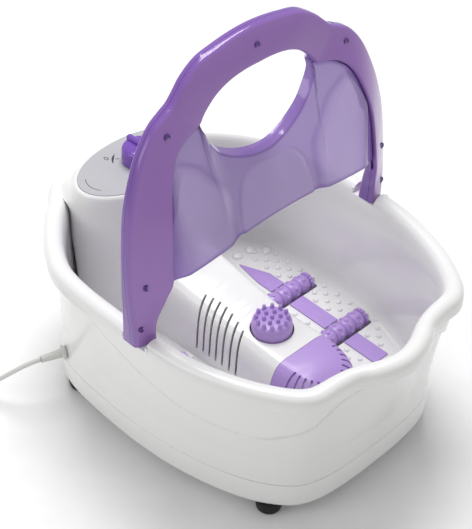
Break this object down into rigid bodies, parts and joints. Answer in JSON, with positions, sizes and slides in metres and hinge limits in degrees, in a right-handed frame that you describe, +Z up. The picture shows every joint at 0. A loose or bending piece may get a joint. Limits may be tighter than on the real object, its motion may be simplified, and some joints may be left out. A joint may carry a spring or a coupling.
{
  "type": "foot spa basin",
  "caption": "Oval foot bath with a lift-off tinted splash guard, massage rollers and puck, slotted heel cover, rotary control, vibration and bubble drive",
  "frame": {"origin": "on the floor under the middle of the basin, at the height of the feet's undersides", "axes": "+Z up, +Y towards the toe end with the control pod, +X to the user's right"},
  "size_m": [0.4739, 0.4978, 0.4325],
  "materials": {
    "white_shell": "gloss",
    "guard_band": "clear tinted gloss",
    "guard_panel": "clear tinted gloss",
    "knob": "clear tinted gloss",
    "lilac_plastic": "satin",
    "label_plate": "satin print",
    "foot_rubber": "matt",
    "screw_steel": "zinc plated",
    "bright_steel": "drawn",
    "dark_nylon": "matt",
    "pale_nylon": "matt",
    "heater_foil": "rolled foil",
    "circuit_board": "satin",
    "air_tube": "matt",
    "cord_pvc": "matt"
  },
  "bodies": {
    "basin": {"inner_basin": "white_shell", "outer_shell": "white_shell", "base_cover": "white_shell", "foot_toe_left": "foot_rubber", "foot_toe_right": "foot_rubber", "foot_heel_left": "foot_rubber", "foot_heel_right": "foot_rubber", "base_screw_heel_left": "screw_steel", "base_screw_heel_right": "screw_steel", "base_screw_middle_left": "screw_steel", "base_screw_middle_right": "screw_steel", "base_screw_toe_left": "screw_steel", "base_screw_toe_right": "screw_steel", "control_panel_plate": "label_plate", "rotary_switch": "dark_nylon", "roller_axle_toe_left": "bright_steel", "roller_axle_toe_right": "bright_steel", "roller_axle_heel_left": "bright_steel", "roller_axle_heel_right": "bright_steel", "inlay_toe_left": "lilac_plastic", "inlay_toe_right": "lilac_plastic", "inlay_arch_left": "lilac_plastic", "inlay_arch_right": "lilac_plastic", "inlay_heel_left": "lilac_plastic", "inlay_heel_right": "lilac_plastic", "heater_plate_left": "heater_foil", "heater_plate_right": "heater_foil", "vibration_motor": "bright_steel", "motor_clamp": "dark_nylon", "air_pump": "dark_nylon", "air_hose": "air_tube", "jet_bar": "dark_nylon", "thermostat": "dark_nylon", "control_board": "circuit_board", "terminal_block": "pale_nylon", "cord_strain_relief": "cord_pvc", "power_cord": "cord_pvc", "cord_coil": "cord_pvc", "power_plug": "cord_pvc"},
    "guard": {"guard_front_band": "guard_band", "guard_rear_band": "guard_band", "guard_panel": "guard_panel", "guard_screw_crown": "screw_steel", "guard_screw_shoulder_left": "screw_steel", "guard_screw_shoulder_right": "screw_steel", "guard_screw_side_left": "screw_steel", "guard_screw_side_right": "screw_steel", "guard_screw_leg_left": "screw_steel", "guard_screw_leg_right": "screw_steel"},
    "knob": {"control_knob": "knob"},
    "roller_toe_left_body": {"roller_toe_left": "lilac_plastic"},
    "roller_toe_right_body": {"roller_toe_right": "lilac_plastic"},
    "roller_heel_left_body": {"roller_heel_left": "lilac_plastic"},
    "roller_heel_right_body": {"roller_heel_right": "lilac_plastic"},
    "massage_puck": {"massage_node": "lilac_plastic"},
    "heel_cover": {"slotted_cover": "lilac_plastic"},
    "shaker_weight": {"eccentric_weight": "bright_steel"}
  },
  "joints": [
    {"name": "guard_lift", "type": "slide", "parent": "basin", "child": "guard", "axis": [0, 0, 1], "range_m": [0, 0.15]},
    {"name": "knob_turn", "type": "hinge", "parent": "basin", "child": "knob", "pos_m": [0, 0.145, 0.205], "axis": [0, 0, -1], "range_deg": [0, 270]},
    {"name": "roller_toe_left_spin", "type": "hinge", "parent": "basin", "child": "roller_toe_left_body", "pos_m": [-0.09, 0.017, 0.0465], "axis": [1, 0, 0], "continuous": true},
    {"name": "roller_toe_right_spin", "type": "hinge", "parent": "basin", "child": "roller_toe_right_body", "pos_m": [0.09, 0.017, 0.0465], "axis": [1, 0, 0], "continuous": true},
    {"name": "roller_heel_left_spin", "type": "hinge", "parent": "basin", "child": "roller_heel_left_body", "pos_m": [-0.09, -0.063, 0.0465], "axis": [1, 0, 0], "continuous": true},
    {"name": "roller_heel_right_spin", "type": "hinge", "parent": "basin", "child": "roller_heel_right_body", "pos_m": [0.09, -0.063, 0.0465], "axis": [1, 0, 0], "continuous": true},
    {"name": "massage_puck_lift", "type": "slide", "parent": "basin", "child": "massage_puck", "axis": [0, 0, 1], "range_m": [0, 0.05]},
    {"name": "heel_cover_lift", "type": "slide", "parent": "basin", "child": "heel_cover", "axis": [0, 0, 1], "range_m": [0, 0.06]},
    {"name": "motor_spin", "type": "hinge", "parent": "basin", "child": "shaker_weight", "pos_m": [0, 0.0035, 0.06], "axis": [0, -1, 0], "continuous": true}
  ]
}
